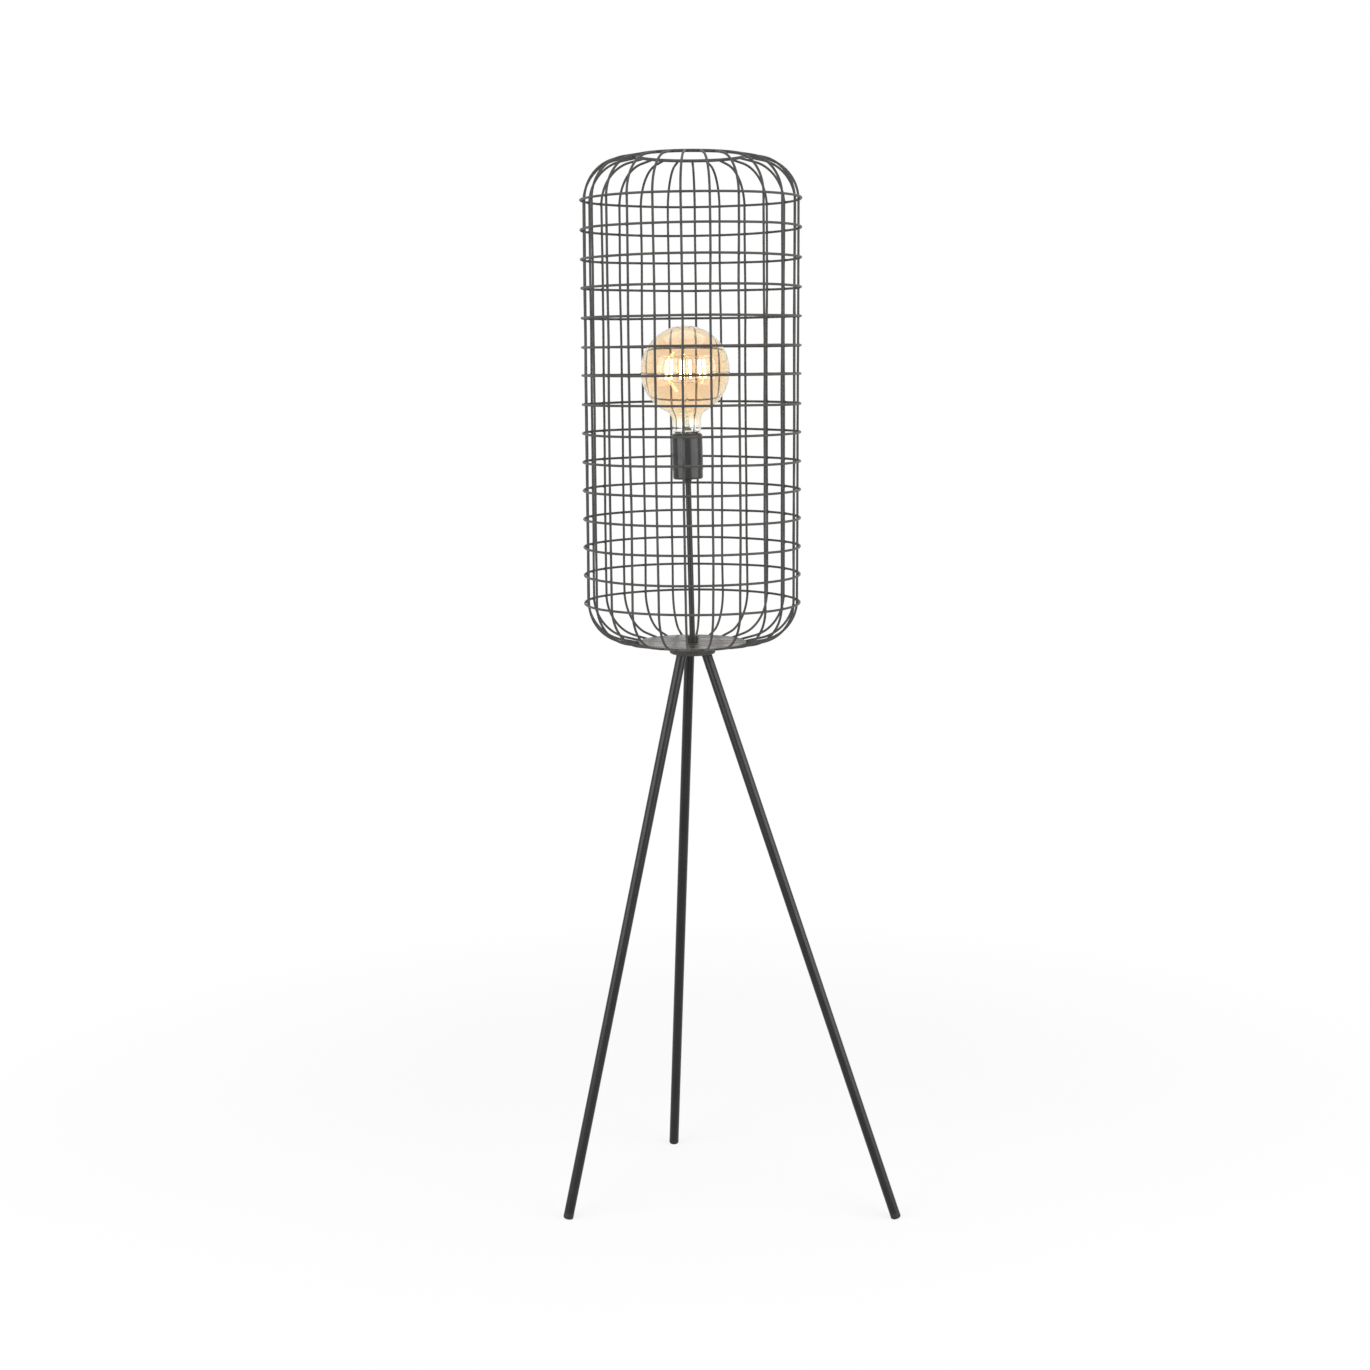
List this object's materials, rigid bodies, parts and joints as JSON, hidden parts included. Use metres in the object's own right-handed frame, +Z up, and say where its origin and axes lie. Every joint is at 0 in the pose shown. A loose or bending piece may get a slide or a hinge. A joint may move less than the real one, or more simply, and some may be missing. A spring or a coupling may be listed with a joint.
{
  "type": "wire cage floor lamp",
  "caption": "Tripod floor lamp in black metal: an open wire cage round a slim stem, a lamp holder and a large amber globe bulb that unscrews",
  "frame": {"origin": "centre of the footprint rectangle, on the floor; the lamp's own upright axis stands beside it, at x -53.6 mm and y -14.6 mm", "axes": "+Z up along the lamp, +X to the picture's right, +Y away from the camera"},
  "size_m": [0.485, 0.3363, 1.5002],
  "materials": {
    "cage_paint": "satin",
    "leg_paint": "satin",
    "stem_paint": "satin",
    "holder_paint": "satin",
    "foot_plastic": "matte",
    "bush_plastic": "matte",
    "zinc_plating": "satin",
    "porcelain": "gloss",
    "contact_bronze": "satin",
    "plated_brass": "satin",
    "solder_tin": "satin",
    "black_glass": "gloss",
    "amber_glass": "gloss",
    "clear_glass": "gloss",
    "glowing_filament": "matte",
    "lead_wire": "satin",
    "circuit_board": "satin"
  },
  "bodies": {
    "lamp_frame": {"bottom_plate": "cage_paint", "cable_bush": "bush_plastic", "cage_ring_01": "cage_paint", "cage_ring_02": "cage_paint", "cage_ring_03": "cage_paint", "cage_ring_04": "cage_paint", "cage_ring_05": "cage_paint", "cage_ring_06": "cage_paint", "cage_ring_07": "cage_paint", "cage_ring_08": "cage_paint", "cage_ring_09": "cage_paint", "cage_ring_10": "cage_paint", "cage_ring_11": "cage_paint", "cage_ring_12": "cage_paint", "cage_ring_13": "cage_paint", "cage_ring_14": "cage_paint", "cage_ring_15": "cage_paint", "cage_uprights_1": "cage_paint", "cage_uprights_2": "cage_paint", "cage_uprights_3": "cage_paint", "cage_uprights_4": "cage_paint", "centre_contact": "contact_bronze", "foot_left": "foot_plastic", "foot_rear": "foot_plastic", "foot_right": "foot_plastic", "holder_cap": "holder_paint", "holder_cover": "holder_paint", "holder_insert": "porcelain", "holder_nut": "zinc_plating", "hub": "leg_paint", "leg_insert_left": "zinc_plating", "leg_insert_rear": "zinc_plating", "leg_insert_right": "zinc_plating", "leg_left": "leg_paint", "leg_rear": "leg_paint", "leg_right": "leg_paint", "leg_studs": "zinc_plating", "screw_shell": "plated_brass", "stem": "stem_paint", "stem_collar": "stem_paint", "terminal_screws": "zinc_plating", "top_ring": "cage_paint"},
    "bulb_carrier": {"bulb_contact": "solder_tin"},
    "bulb": {"bulb_cap": "plated_brass", "bulb_insulator": "black_glass", "bulb_glass": "amber_glass", "bulb_mount": "clear_glass", "filaments": "glowing_filament", "filament_leads_lower": "lead_wire", "filament_leads_upper": "lead_wire", "lead_in_wires": "lead_wire", "driver_board": "circuit_board"}
  },
  "joints": [
    {"name": "bulb_lift", "type": "slide", "parent": "lamp_frame", "child": "bulb_carrier", "axis": [-0.0227, 0, 0.9997], "range_m": [0, 0.0127]},
    {"name": "bulb_turn", "type": "hinge", "parent": "bulb_carrier", "child": "bulb", "pos_m": [-0.05971, -0.01428, 1.09263], "axis": [-0.0227, 0, 0.9997], "range_deg": [0, 1260]}
  ],
  "couplings": [
    {"joint": "bulb_lift", "follows": "bulb_turn", "m_per_rad": 0.0005775}
  ]
}
